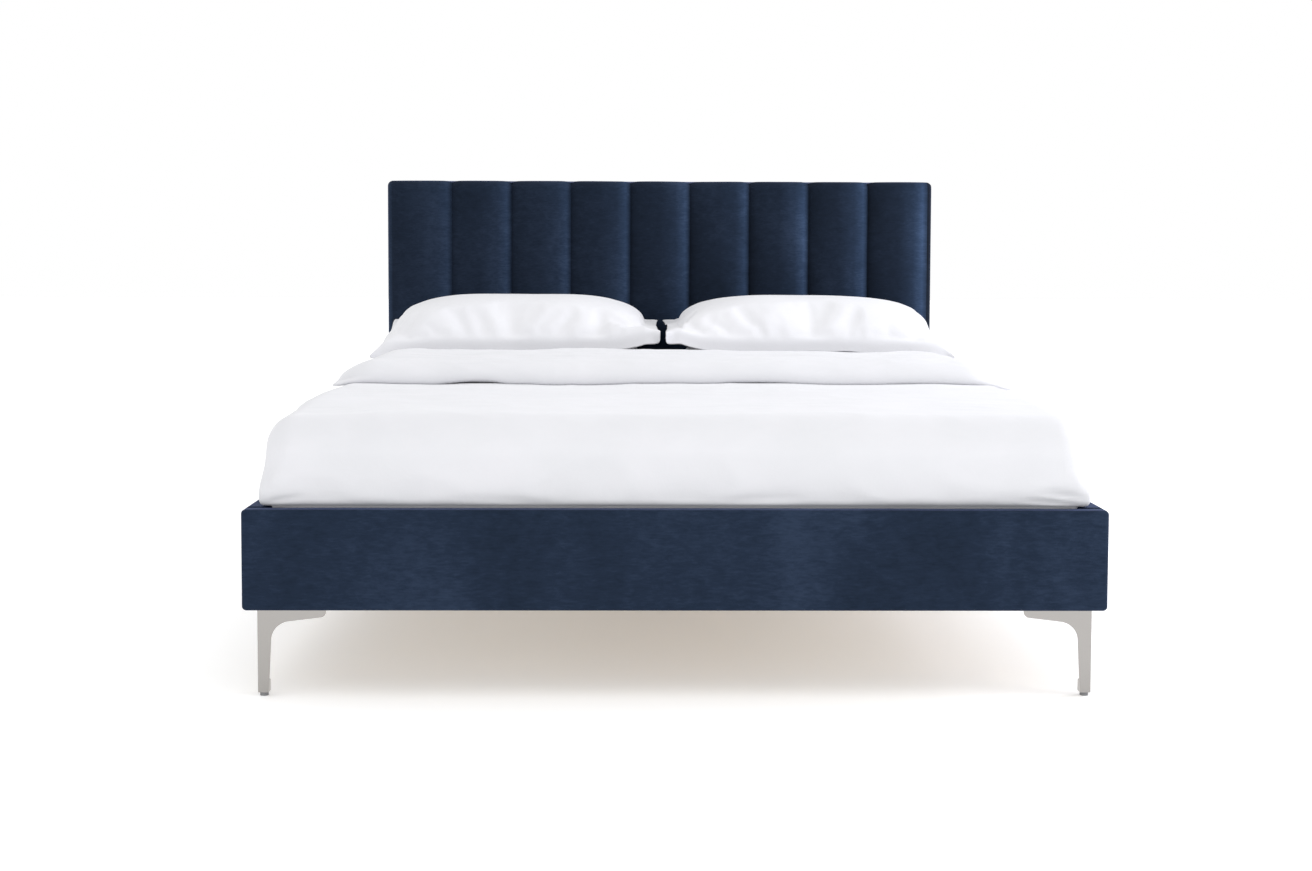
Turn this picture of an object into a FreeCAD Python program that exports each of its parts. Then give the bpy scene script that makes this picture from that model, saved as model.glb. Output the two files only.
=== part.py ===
import FreeCAD, Part
import os
import re
import Sketcher

from FreeCAD import Placement, Rotation, Vector

# A dressed double bed with a channelled headboard, in millimetres.
# The origin is on the floor, in the middle of the bed's outline.
# +X is to the right for somebody at the foot, +Y runs to the head, +Z is up.

os.makedirs("parts", exist_ok=True)
doc = FreeCAD.newDocument("UpholsteredBed")

SLATS = 13
CHANNELS = 9
MID_LEGS = 1

DRIVING = {
    # the bed as a whole
    "bedWidth": 1621,
    "bedLength": 2168,
    "headboardTop": 1050,
    "railTop": 355,
    "railBottom": 165,
    # upholstered rails: a board wrapped in foam and velvet
    "boardThick": 25,
    "foamThick": 5,
    "coverThick": 1.5,
    "railRound": 6,
    # headboard, from the back forwards
    "backClothThick": 1.5,
    "backClothInset": 12,
    "headEdgePad": 6,
    "headFrameThick": 30,
    "headPanelThick": 15,
    "stretcherTall": 60,
    "stretcherMiddle": 640,
    "channelWidth": 177,
    "channelCrown": 14,
    # corner legs of bent plate
    "legInsetSide": 26,
    "legInsetEnd": 20,
    "legWing": 128,
    "legPlate": 4,
    "legTipDepth": 14.5,
    "legKneeDepth": 27,
    "legKneeWide": 26.5,
    "legFootWide": 20,
    "legKneeRound": 38,
    "legTipRound": 10,
    "legFootTall": 22,
    "legTopWide": 112,
    # glides pressed into the legs
    "glideWide": 16,
    "glideThick": 7,
    "glideStudWide": 7.8,
    "glideStudLong": 18,
    "glidePlay": 0.2,
    # corner joinery
    "gussetWide": 140,
    "gussetThick": 18,
    "bracketWide": 60,
    "bracketTall": 43,
    "bracketBottom": 185,
    "steelThick": 3,
    "boltWide": 8,
    "boltBite": 22,
    "boltHeadWide": 15,
    "boltHeadTall": 5,
    "boltNear": 20,
    "boltFar": 44,
    "screwWide": 5,
    "screwBite": 14,
    "screwHeadWide": 10,
    "screwHeadTall": 3,
    "screwEdge": 30,
    "screwSpan": 60,
    "holePlay": 0.5,
    # slatted base
    "ledgeWide": 25,
    "ledgeTall": 30,
    "ledgeTop": 230,
    "ledgeEndGap": 4,
    "slatWide": 70,
    "slatThick": 15,
    "slatEndInset": 65,
    "capWall": 2,
    "capLong": 35,
    "capGap": 2.5,
    "beamWide": 40,
    "beamTall": 60,
    "hangerLip": 35,
    "midLegWide": 30,
    "midLegPlate": 50,
    "midLegPlateThick": 4,
    # bedding
    "mattressSideGap": 7.5,
    "mattressEndGap": 7.75,
    "mattressThick": 246,
    "mattressRound": 55,
    "mattressCorner": 75,
    "sheetThick": 1,
    "duvetThick": 30,
    "duvetOverSide": 23.5,
    "duvetOverFoot": 7,
    "duvetFootRound": 110,
    "duvetSideRound": 45,
    "duvetFoldThick": 55,
    "duvetFoldDeep": 556,
    "duvetFoldRound": 24,
    "duvetLift": 2,
    "tuckThick": 5,
    "tuckDeep": 55,
    "tuckPlay": 0.4,
    "pillowOverSide": 14.5,
    "pillowDepth": 470,
    "pillowThick": 108,
    "pillowRound": 42,
    "pillowFlange": 45,
    "pillowFlangeThick": 6,
    "pillowSeam": 34,
    "pillowGap": 6,
    "pillowFromDuvet": 6,
    "pillowFromHead": 26.5,
    "pillowLift": 0.5,
}

# sizes that follow from the driving ones
DERIVED = {
    "halfWidth": "bedWidth / 2",
    "halfLength": "bedLength / 2",
    "railThick": "boardThick + 2 * foamThick + 2 * coverThick",
    "wrap": "foamThick + coverThick",
    "headBack": "halfLength - backClothThick",
    "headPanelBack": "headBack - headFrameThick",
    "headPanelFront": "headPanelBack - headPanelThick",
    "headFront": "headPanelFront - railThick",
    "footInner": "railThick - halfLength",
    "sideInner": "halfWidth - railThick",
    "clearLength": "headFront - footInner",
    "headInside": "halfWidth - headEdgePad",
    "padDepth": "railThick - coverThick - channelCrown",
    "innerChannels": f"{CHANNELS - 2} * channelWidth / 2",
    "outerChannel": "headInside - innerChannels",
    "slatBottom": "ledgeTop + capWall",
    "slatTop": "slatBottom + slatThick",
    "deckTop": "slatTop + capWall",
    "slatHalf": "sideInner - capGap - capWall",
    "slatPitch": f"(clearLength - 2 * slatEndInset) / {SLATS - 1}",
    "beamBottom": "slatBottom - beamTall",
    "bedMiddle": "(headFront + footInner) / 2",
    "mattressWidth": "2 * (sideInner - mattressSideGap)",
    "mattressLength": "clearLength - 2 * mattressEndGap",
    "sheetTop": "deckTop + mattressThick",
    "duvetTop": "sheetTop + duvetThick",
    "duvetBottom": "railTop + duvetLift",
    "duvetFoot": "footInner - duvetOverFoot",
    "duvetSpread": "sideInner + duvetOverSide",
    "duvetHead": "headFront - pillowFromHead - pillowDepth - 2 * pillowFlange - pillowFromDuvet",
    "foldFront": "duvetHead - duvetFoldDeep",
    "pillowWidth": "sideInner + pillowOverSide - pillowGap / 2 - 2 * pillowFlange",
    "footRound": "min(duvetFootRound; duvetTop - duvetBottom - duvetSideRound)",
    "boltLevel": "bracketBottom + bracketTall / 2",
    "legTop": "railBottom",
    "legTall": "legTop - glideThick",
}

CORNERS = (("foot_left", -1, -1, 0), ("foot_right", 1, -1, 90),
           ("head_right", 1, 1, 180), ("head_left", -1, 1, 270))

sizes = doc.addObject("Spreadsheet::Sheet", "Sizes")
for row, (alias, amount) in enumerate(DRIVING.items(), start=1):
    sizes.set(f"A{row}", alias)
    sizes.set(f"B{row}", str(amount))
    sizes.setAlias(f"B{row}", alias)
doc.recompute()

subparts = []


# ---------------------------------------------------------------- helpers

def formula(text):
    """Write a formula in size names as one that reads the sheet."""
    def swap(found):
        word = found.group(0)
        if word in DERIVED:
            return "(" + formula(DERIVED[word]) + ")"
        if word in DRIVING:
            return "Sizes." + word
        return word
    return re.sub(r"[A-Za-z]+", swap, text)


def bind(thing, **formulas):
    for name, text in formulas.items():
        thing.setExpression(name, formula(text))
    return thing


def place(thing, spot, turn=0):
    """Put a solid at a spot given by three formulas, turned about Z."""
    thing.Placement = Placement(Vector(), Rotation(Vector(0, 0, 1), turn))
    for axis, text in zip("xyz", spot):
        thing.setExpression("Placement.Base." + axis, formula(text))
    return thing


reader = doc.addObject("App::FeaturePython", "Reader")
reader.addProperty("App::PropertyFloat", "Amount")


def value(text):
    """What a formula comes to with the sheet's present sizes."""
    reader.setExpression("Amount", formula(text))
    reader.recompute()
    return reader.Amount


def subpart(thing, label):
    thing.Label = label
    subparts.append(thing)
    return thing


def block(name, across, along, up):
    """A box between two formulas on each axis."""
    solid = doc.addObject("Part::Box", name)
    spans = ["(" + high + ") - (" + low + ")" for low, high in (across, along, up)]
    bind(solid, Length=spans[0], Width=spans[1], Height=spans[2])
    return place(solid, (across[0], along[0], up[0]))


def rod(name, spot, direction, diameter, length):
    """A cylinder that starts at a spot and runs in a direction."""
    solid = doc.addObject("Part::Cylinder", name)
    bind(solid, Radius="(" + diameter + ") / 2", Height=length)
    solid.Placement = Placement(Vector(), Rotation(Vector(0, 0, 1), Vector(*direction)))
    for axis, text in zip("xyz", spot):
        solid.setExpression("Placement.Base." + axis, formula(text))
    return solid


def joined(name, pieces, kind="Part::MultiFuse"):
    result = doc.addObject(kind, name)
    if kind == "Part::Compound":
        result.Links = pieces
    else:
        result.Shapes = pieces
    return result


def cut(name, base, tool):
    result = doc.addObject("Part::Cut", name)
    result.Base = base
    result.Tool = tool
    return result


def new_sketch(body, name, role):
    """A sketch on one of its own body's origin planes."""
    plane = [feature for feature in body.Origin.OriginFeatures if feature.Role == role][0]
    sketch = body.newObject("Sketcher::SketchObject", name)
    sketch.AttachmentSupport = [(plane, "")]
    sketch.MapMode = "FlatFace"
    return sketch


def outline(sketch, points, arcs=()):
    """Close a chain through points; arcs gives (side, centre across, centre up)."""
    corners = [Vector(value(across), value(up), 0) for across, up in points]
    centres = {side: (across, up) for side, across, up in arcs}
    count = len(points)
    for side in range(count):
        start = corners[side]
        end = corners[(side + 1) % count]
        if side in centres:
            centre = Vector(value(centres[side][0]), value(centres[side][1]), 0)
            outwards = ((start + end) / 2 - centre).normalize()
            if (start - centre).cross(end - centre).z < 0:
                start, end = end, start
            edge = Part.Arc(start, centre + outwards * (start - centre).Length, end)
        else:
            edge = Part.LineSegment(start, end)
        sketch.addGeometry(edge, False)
    for side in range(count):
        following = (side + 1) % count
        ends = []
        for piece in (side, following):
            starts_here = (sketch.Geometry[piece].StartPoint - corners[following]).Length < 1e-6
            ends.append((piece, 1 if starts_here else 2))
        sketch.addConstraint(Sketcher.Constraint("Coincident", *ends[0], *ends[1]))
        for kind, text in zip(("DistanceX", "DistanceY"), points[following]):
            hold(sketch, kind, ends[0], text)
        if side in centres:
            hold(sketch, "DistanceY", (side, 3), centres[side][1])


def hold(sketch, kind, point, text):
    """Fix a point's distance from the sketch's origin to a formula."""
    index = sketch.addConstraint(Sketcher.Constraint(kind, -1, 1, *point, value(text)))
    sketch.setExpression(f"Constraints[{index}]", formula(text))


def pad(body, sketch, length, middle=False, back=False):
    feature = body.newObject("PartDesign::Pad", sketch.Name + "Pad")
    feature.Profile = sketch
    bind(feature, Length=length)
    feature.Midplane = middle
    feature.Reversed = back
    sketch.Visibility = False
    return feature


def rounded(body, base, radius, chosen):
    """Fillet the edges of a feature that a test chooses."""
    doc.recompute()
    names = [f"Edge{i}" for i, edge in enumerate(base.Shape.Edges, start=1) if chosen(edge)]
    feature = body.newObject("PartDesign::Fillet", base.Name + "Round")
    feature.Base = (base, names)
    bind(feature, Radius=radius)
    return feature


def rectangle(width, depth, low=("0", "0")):
    """Four points of a rectangle from its low corner."""
    far = (low[0] + " + " + width, low[1] + " + " + depth)
    return (low, (far[0], low[1]), far, (low[0], far[1]))


def upright(edge):
    return abs(edge.BoundBox.ZLength - edge.Length) < 1e-6


def level(edge):
    return edge.BoundBox.ZLength < 1e-6


def mirrored(low, high):
    """The same span on the other side of the middle."""
    return ("-(" + high + ")", "-(" + low + ")")


# ---------------------------------------------------------------- screws and bolts

def inner_end(along):
    """The inner face of the foot rail or of the head rail."""
    return "footInner" if along < 0 else "headFront"


def bolt_places():
    """Each bracket bolt: a point on the rail's inner face and the way it points."""
    for _, across, along, _ in CORNERS:
        end = inner_end(along)
        for inset in ("boltNear", "boltFar"):
            yield (f"{across} * (sideInner - {inset})", end, "boltLevel"), (0, along, 0)
            yield (f"{across} * sideInner", f"{end} - ({along}) * {inset}", "boltLevel"), (across, 0, 0)


def screw_places():
    """Each screw through a leg's top plate, at the plate's lower face."""
    for _, across, along, _ in CORNERS:
        for near_side in ("screwEdge", "screwEdge + screwSpan"):
            for near_end in ("screwEdge", "screwEdge + screwSpan"):
                yield (f"{across} * (halfWidth - legInsetSide - ({near_side}))",
                       f"{inner_end(along)} + ({along}) * (railThick - legInsetEnd - ({near_end}))",
                       "legTop - legPlate")


def stepped(spot, direction, distance):
    """A spot moved along a direction by a formula."""
    return tuple(f"{text} + ({step}) * ({distance})" for text, step in zip(spot, direction))


def fastener(name, spot, direction, shank, plate, bite, head_wide, head_tall):
    """A headed shank that goes through a plate, from the plate's near face."""
    head_spot = stepped(spot, direction, "-(" + head_tall + ")")
    head = rod(name + "_head", head_spot, direction, head_wide, head_tall)
    stem = rod(name + "_stem", spot, direction, shank, plate + " + " + bite)
    return joined(name, [head, stem])


bolts = []
bolt_holes = []
for index, (spot, direction) in enumerate(bolt_places()):
    near = stepped(spot, direction, "-steelThick")
    bolts.append(fastener(f"bolt_{index}", near, direction, "boltWide", "steelThick", "boltBite",
                          "boltHeadWide", "boltHeadTall"))
    bolt_holes.append(rod(f"bolt_hole_{index}", near, direction, "boltWide + holePlay",
                          "steelThick + boltBite + holePlay"))
bolt_holes = joined("bolt_holes", bolt_holes, "Part::Compound")
subpart(joined("bolts", bolts, "Part::Compound"), "bracket_bolts")

screws = []
screw_holes = []
for index, spot in enumerate(screw_places()):
    screws.append(fastener(f"screw_{index}", spot, (0, 0, 1), "screwWide", "legPlate", "screwBite",
                           "screwHeadWide", "screwHeadTall"))
    screw_holes.append(rod(f"screw_hole_{index}", spot, (0, 0, 1), "screwWide + holePlay",
                           "legPlate + screwBite + holePlay"))
screw_holes = joined("screw_holes", screw_holes, "Part::Compound")
subpart(joined("screws", screws, "Part::Compound"), "leg_screws")


# ---------------------------------------------------------------- rails

def soft_block(name, across, along, up, radius, chosen=lambda edge: True):
    """A block with rounded edges, as a body whose sketch starts at its low corner."""
    body = doc.addObject("PartDesign::Body", name)
    place(body, (across[0], along[0], up[0]))
    sketch = new_sketch(body, name + "_plan", "XY_Plane")
    width, depth, height = ["(" + high + ") - (" + low + ")" for low, high in (across, along, up)]
    outline(sketch, rectangle(width, depth))
    base = pad(body, sketch, height)
    rounded(body, base, radius, chosen)
    return body


def rail(name, across, along, wrapped_x, wrapped_y):
    """Board, foam and cover of one rail; the foam covers the faces that are wrapped."""
    up = ("railBottom", "railTop")
    cover_span = []
    board_span = []
    for span, wrapped in ((across, wrapped_x), (along, wrapped_y)):
        inset = "coverThick"
        cover_span.append((f"{span[0]} + {inset}", f"{span[1]} - {inset}"))
        inset = "wrap" if wrapped else "coverThick"
        board_span.append((f"{span[0]} + {inset}", f"{span[1]} - {inset}"))
    inside_up = ("railBottom + coverThick", "railTop - coverThick")
    board_up = ("railBottom + coverThick", "railTop - wrap")
    round_edges = (lambda edge: True) if wrapped_y else (lambda edge: edge.BoundBox.YLength > 1)
    board = block(name + "_plank", *board_span, board_up)
    filling = soft_block(name + "_filling", *cover_span, inside_up, "railRound - coverThick", round_edges)
    outside = soft_block(name + "_outside", across, along, up, "railRound", round_edges)
    foam = cut(name + "_padding", filling, board)
    skin = cut(name + "_skin", outside, filling)
    subpart(cut(name + "_drilled", board, bolt_holes), name + "_board")
    subpart(cut(name + "_pierced", foam, bolt_holes), name + "_foam")
    subpart(cut(name + "_shell", skin, bolt_holes), name + "_cover")


full = ("-halfWidth", "halfWidth")
right_rail = ("sideInner", "halfWidth")
clear = ("footInner", "headFront")
rail("foot_rail", full, ("-halfLength", "footInner"), True, True)
rail("head_rail", full, ("headFront", "headPanelFront"), True, True)
rail("side_rail_right", right_rail, clear, True, False)
rail("side_rail_left", mirrored(*right_rail), clear, True, False)


# ---------------------------------------------------------------- headboard

frame_depth = ("headPanelBack", "headBack")
frame_up = ("railBottom + coverThick", "headboardTop - headEdgePad")
post = ("headInside - stretcherTall", "headInside")
timbers = [block("post_right", post, frame_depth, frame_up),
           block("post_left", mirrored(*post), frame_depth, frame_up)]
between = ("stretcherTall - headInside", "headInside - stretcherTall")
for name, low in (("top", "headboardTop - headEdgePad - stretcherTall"), ("middle", "stretcherMiddle"),
                  ("bottom", "railBottom + coverThick")):
    timbers.append(block("stretcher_" + name, between, frame_depth, (low, low + " + stretcherTall")))
subpart(joined("head_timbers", timbers), "headboard_frame")

inside_head = ("-headInside", "headInside")
subpart(block("head_plywood", inside_head, ("headPanelFront", "headPanelBack"), frame_up), "headboard_panel")
cloth_span = ("backClothInset - halfWidth", "halfWidth - backClothInset")
cloth_up = ("railBottom + backClothInset", "headboardTop - backClothInset")
subpart(block("head_cloth", cloth_span, ("headBack", "halfLength"), cloth_up), "headboard_back_cloth")


def channel(name, left, width, extra, up):
    """One crowned strip in plan; extra is how far it stands in front of the foam."""
    body = doc.addObject("PartDesign::Body", name)
    place(body, (left, "headPanelFront", up[0]))
    sketch = new_sketch(body, name + "_plan", "XY_Plane")
    deep = "-(padDepth + (" + extra + "))"
    points = (("0", "0"), ("0", deep), (width, deep), (width, "0"))
    radius = f"(({width}) ^ 2 / 4 + channelCrown ^ 2) / (2 * channelCrown)"
    outline(sketch, points, arcs=((1, f"({width}) / 2", f"{deep} - channelCrown + {radius}"),))
    pad(body, sketch, "(" + up[1] + ") - (" + up[0] + ")")
    return body


foams = []
skins = []
for index in range(CHANNELS):
    left = f"{index - 1} * channelWidth - innerChannels"
    width = "channelWidth"
    skin_left = left
    skin_width = width
    if index == 0:
        left = "-headInside"
        width = "outerChannel"
        skin_left = "-halfWidth"
        skin_width = "outerChannel + headEdgePad"
    if index == CHANNELS - 1:
        width = "outerChannel"
        skin_width = "outerChannel + headEdgePad"
    foams.append(channel(f"channel_{index}", left, width, "0", ("railTop + coverThick", frame_up[1])))
    skins.append(channel(f"channel_skin_{index}", skin_left, skin_width, "coverThick",
                         ("railTop", "headboardTop")))
foams = subpart(joined("channel_foams", foams, "Part::Compound"), "headboard_channels")
skins.append(block("head_sides", full, ("headPanelFront", "headBack"), ("railBottom", "headboardTop")))
head_filling = block("head_filling", inside_head, ("headPanelFront", "headBack"), frame_up)
hollow = joined("head_hollow", [foams, head_filling], "Part::Compound")
subpart(cut("head_skin", joined("head_outside", skins), hollow), "headboard_cover")


# ---------------------------------------------------------------- corner joinery and legs

def corner_spot(across, along, side_inset, end_out, level_text):
    return (f"{across} * (halfWidth - ({side_inset}))",
            f"{inner_end(along)} + ({along}) * ({end_out})", level_text)


def gusset_plate(name, across, along):
    side = ("sideInner - gussetWide", "sideInner")
    end = (inner_end(along), f"{inner_end(along)} - ({along}) * gussetWide")
    side = side if across > 0 else mirrored(*side)
    end = end if along < 0 else end[::-1]
    return block(name, side, end, ("railBottom", "railBottom + gussetThick"))


def bracket(name, across, along, turn):
    """An angle of steel plate in the inner corner of two rails."""
    body = doc.addObject("PartDesign::Body", name)
    place(body, (f"{across} * sideInner", inner_end(along), "bracketBottom"), turn)
    sketch = new_sketch(body, name + "_plan", "XY_Plane")
    outline(sketch, (("0", "0"), ("bracketWide", "0"), ("bracketWide", "steelThick"),
                     ("steelThick", "steelThick"), ("steelThick", "bracketWide"), ("0", "bracketWide")))
    pad(body, sketch, "bracketTall")
    return body


LEG_OUTLINE = (("0", "0"), ("legWing", "0"), ("legWing", "-legTipDepth"), ("legKneeWide", "-legKneeDepth"),
               ("legFootWide", "-legTall"), ("0", "-legTall"))


def leg_body(name, across, along, turn):
    """Two wings of plate at a right angle, on a square foot, under a top plate."""
    body = doc.addObject("PartDesign::Body", name)
    place(body, corner_spot(across, along, "legInsetSide", "railThick - legInsetEnd", "legTop"), turn)
    for role, axis in (("XZ_Plane", "x"), ("YZ_Plane", "y")):
        sketch = new_sketch(body, f"{name}_wing_{axis}", role)
        outline(sketch, LEG_OUTLINE)
        wing = pad(body, sketch, "legPlate", back=role == "XZ_Plane")

        def at_bend(edge, out, down):
            spots = [getattr(vertex, axis.upper()) for vertex in edge.Vertexes]
            return len(spots) == 2 and all(
                abs(spot - out) < 0.01 and abs(vertex.Z + down) < 0.01
                for spot, vertex in zip(spots, edge.Vertexes))

        knee = rounded(body, wing, "legKneeRound",
                       lambda edge: at_bend(edge, value("legKneeWide"), value("legKneeDepth")))
        rounded(body, knee, "legTipRound",
                lambda edge: at_bend(edge, value("legWing"), value("legTipDepth")))
    foot = new_sketch(body, name + "_foot", "XY_Plane")
    bind(foot, **{"AttachmentOffset.Base.z": "-legTall"})
    outline(foot, rectangle("legFootWide", "legFootWide"))
    pad(body, foot, "legFootTall")
    top = new_sketch(body, name + "_top", "XY_Plane")
    outline(top, rectangle("legTopWide", "legTopWide"))
    pad(body, top, "legPlate", back=True)
    return body


def glide(name, spot):
    """A plastic pad with a stud that is pressed into the leg above it."""
    body = doc.addObject("PartDesign::Body", name + "_turned")
    place(body, spot)
    sketch = new_sketch(body, name + "_half", "XZ_Plane")
    stud_top = "glideThick + glideStudLong"
    outline(sketch, (("0", "0"), ("glideWide / 2", "0"), ("glideWide / 2", "glideThick"),
                     ("glideStudWide / 2", "glideThick"), ("glideStudWide / 2", stud_top), ("0", stud_top)))
    turned = body.newObject("PartDesign::Revolution", name + "_turning")
    turned.Profile = sketch
    turned.ReferenceAxis = (sketch, ["V_Axis"])
    turned.Angle = 360
    return subpart(body, name)


def stud_hole(name, spot):
    low = (spot[0], spot[1], "glideThick")
    return rod(name, low, (0, 0, 1), "glideStudWide + glidePlay", "glideStudLong + glidePlay")


gussets = []
angles = []
for name, across, along, turn in CORNERS:
    gussets.append(gusset_plate("gusset_" + name, across, along))
    angles.append(bracket("angle_" + name, across, along, turn))
    foot_spot = corner_spot(across, along, "legInsetSide + legFootWide / 2",
                            "railThick - legInsetEnd - legFootWide / 2", "0")
    glide("glide_" + name, foot_spot)
    stud = stud_hole("stud_hole_" + name, foot_spot)
    holes = joined("leg_holes_" + name, [stud, screw_holes], "Part::Compound")
    plates = leg_body("leg_plate_" + name, across, along, turn)
    subpart(cut("leg_drilled_" + name, plates, holes), "leg_" + name)
subpart(cut("gussets_drilled", joined("gussets", gussets, "Part::Compound"), screw_holes), "corner_gussets")
subpart(cut("angles_drilled", joined("angles", angles, "Part::Compound"), bolt_holes), "corner_brackets")


# ---------------------------------------------------------------- slatted base

ledge = ("sideInner - ledgeWide", "sideInner")
ledge_run = ("footInner + bracketWide + ledgeEndGap", "headFront - bracketWide - ledgeEndGap")
ledge_up = ("ledgeTop - ledgeTall", "ledgeTop")
subpart(block("ledge_right", ledge, ledge_run, ledge_up), "slat_ledge_right")
subpart(block("ledge_left", mirrored(*ledge), ledge_run, ledge_up), "slat_ledge_left")

slats = []
caps = []
for index in range(SLATS):
    middle = f"footInner + slatEndInset + {index} * slatPitch"
    run = (f"{middle} - slatWide / 2", f"{middle} + slatWide / 2")
    slat = block(f"lath_{index}", ("-slatHalf", "slatHalf"), run, ("slatBottom", "slatTop"))
    slats.append(subpart(slat, f"slat_{index + 1:02d}"))
    reach = ("slatHalf - capLong", "slatHalf + capWall")
    cap_run = (run[0] + " - capWall", run[1] + " + capWall")
    for side, span in (("right", reach), ("left", mirrored(*reach))):
        caps.append(block(f"cap_{side}_{index}", span, cap_run, ("ledgeTop", "deckTop")))
laths = joined("laths", slats, "Part::Compound")
subpart(cut("caps_hollowed", joined("caps", caps, "Part::Compound"), laths), "slat_end_caps")

beam = ("-beamWide / 2", "beamWide / 2")
beam_run = ("footInner + steelThick", "headFront - steelThick")
subpart(block("beam", beam, beam_run, ("beamBottom", "slatBottom")), "centre_beam")

hangers = []
for name, along in (("foot", -1), ("head", 1)):
    inner = inner_end(along)
    plate_run = (inner, f"{inner} - ({along}) * steelThick")
    lip_run = (inner, f"{inner} - ({along}) * hangerLip")
    if along > 0:
        plate_run = plate_run[::-1]
        lip_run = lip_run[::-1]
    plate = block("hanger_plate_" + name, ("-beamWide", "beamWide"), plate_run,
                  ("beamBottom - steelThick", "slatBottom - steelThick"))
    lip = block("hanger_lip_" + name, beam, lip_run, ("beamBottom - steelThick", "beamBottom"))
    hangers.append(joined("hanger_" + name, [plate, lip]))
subpart(joined("hangers", hangers, "Part::Compound"), "beam_hangers")

for index in range(MID_LEGS):
    share = (index + 1) / (MID_LEGS + 1)
    spot = ("0", f"footInner + {share} * clearLength", "glideThick")
    tube = rod(f"mid_tube_{index}", spot, (0, 0, 1), "midLegWide", "beamBottom - glideThick")
    plate = block(f"mid_plate_{index}", ("-midLegPlate / 2", "midLegPlate / 2"),
                  (spot[1] + " - midLegPlate / 2", spot[1] + " + midLegPlate / 2"),
                  ("beamBottom - midLegPlateThick", "beamBottom"))
    post_name = f"centre_leg_{index + 1}"
    whole = joined(f"mid_leg_{index}", [tube, plate])
    subpart(cut(f"mid_leg_drilled_{index}", whole, stud_hole(f"mid_hole_{index}", spot)), post_name)
    glide(f"centre_glide_{index + 1}", (spot[0], spot[1], "0"))


# ---------------------------------------------------------------- mattress and bedding

def lying(name, play, top):
    """The mattress outline, grown sideways by a play, as high as a formula says."""
    across = (f"-mattressWidth / 2 - ({play})", f"mattressWidth / 2 + ({play})")
    along = (f"bedMiddle - mattressLength / 2 - ({play})", f"bedMiddle + mattressLength / 2 + ({play})")
    body = soft_block(name, across, along, ("deckTop", top), "mattressCorner", upright)
    rounded(body, body.Tip, "mattressRound", lambda edge: level(edge) and edge.BoundBox.ZMin > 1)
    return body


mattress = subpart(lying("mattress_core", "-sheetThick", "sheetTop - sheetThick"), "mattress")
subpart(cut("sheet_skin", lying("sheet_outside", "0", "sheetTop"), mattress), "fitted_sheet")

spread = ("-duvetSpread", "duvetSpread")
quilt = doc.addObject("PartDesign::Body", "quilt")
side_view = new_sketch(quilt, "quilt_side", "YZ_Plane")
round_centre = ("duvetFoot + footRound", "duvetTop - footRound")
outline(side_view, (("duvetFoot", "duvetBottom"), ("duvetFoot", round_centre[1]),
                    (round_centre[0], "duvetTop"), ("duvetHead", "duvetTop"),
                    ("duvetHead", "duvetBottom")),
        arcs=((1, *round_centre),))
quilt_pad = pad(quilt, side_view, "2 * duvetSpread", middle=True)
rounded(quilt, quilt_pad, "duvetSideRound",
        lambda edge: abs(edge.BoundBox.XLength) < 0.01
        and (edge.BoundBox.ZMin > value("duvetBottom") + 1
             or upright(edge) and edge.BoundBox.YMax < value("duvetFoot") + 1))
fold = soft_block("quilt_fold", spread, ("foldFront", "duvetHead"),
                  ("duvetTop - duvetSideRound", "duvetTop + duvetFoldThick"), "duvetFoldRound",
                  lambda edge: not (level(edge) and edge.BoundBox.ZMax < 1))
tuck_play = "(tuckPlay + tuckThick)"
tuck = soft_block("quilt_tuck",
                  (f"-mattressWidth / 2 - {tuck_play}", f"mattressWidth / 2 + {tuck_play}"),
                  (f"bedMiddle - mattressLength / 2 - {tuck_play}", "duvetHead"),
                  ("duvetBottom - tuckDeep", "duvetBottom + tuckThick"), f"mattressCorner + {tuck_play}",
                  lambda edge: upright(edge) and edge.BoundBox.YMax < 1)
cavity = lying("bed_inside", "tuckPlay", "sheetTop")
subpart(cut("quilt_hollowed", joined("quilt_outside", [quilt, fold, tuck]), cavity), "duvet")


def pillow(name, side, height):
    """A cushion with a flat flange round its seam."""
    body = doc.addObject("PartDesign::Body", name + "_case")
    left = "pillowGap / 2 + pillowFlange" if side > 0 else "-pillowGap / 2 - pillowFlange - pillowWidth"
    place(body, (left, "duvetHead + pillowFromDuvet + pillowFlange", height))
    core = new_sketch(body, name + "_core", "XY_Plane")
    outline(core, rectangle("pillowWidth", "pillowDepth"))
    rounded(body, pad(body, core, "pillowThick"), "pillowRound", lambda edge: True)
    rim = new_sketch(body, name + "_rim", "XY_Plane")
    bind(rim, **{"AttachmentOffset.Base.z": "pillowSeam - pillowFlangeThick / 2"})
    outline(rim, rectangle("pillowWidth + 2 * pillowFlange", "pillowDepth + 2 * pillowFlange",
                           ("-pillowFlange", "-pillowFlange")))
    pad(body, rim, "pillowFlangeThick")
    subpart(body, name)


for side_name, side in (("left", -1), ("right", 1)):
    pillow("pillow_lower_" + side_name, side, "sheetTop + pillowLift")
    pillow("pillow_upper_" + side_name, side, "sheetTop + pillowThick + 2 * pillowLift")


# ---------------------------------------------------------------- check and write

doc.recompute()
for thing in doc.Objects:
    if "Invalid" in thing.State or "Error" in thing.State:
        raise RuntimeError(f"{thing.Name} ({thing.Label}) did not compute: {thing.State}")
if len({thing.Label for thing in subparts}) != len(subparts):
    raise RuntimeError("two sub-parts share a label")
for thing in subparts:
    if thing.Shape.isNull() or not thing.Shape.isValid() or thing.Shape.Volume <= 0:
        raise RuntimeError(f"{thing.Label} has no valid shape")
for thing in subparts:
    thing.Shape.exportStep(f"parts/{thing.Label}.step")
whole = Part.makeCompound([thing.Shape for thing in subparts]).BoundBox
print(len(subparts), "sub-parts,", round(whole.XLength, 2), round(whole.YLength, 2), round(whole.ZLength, 2))
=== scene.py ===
import math

import bmesh
import bpy
import numpy as np
from mathutils import Matrix, Vector, noise


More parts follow.
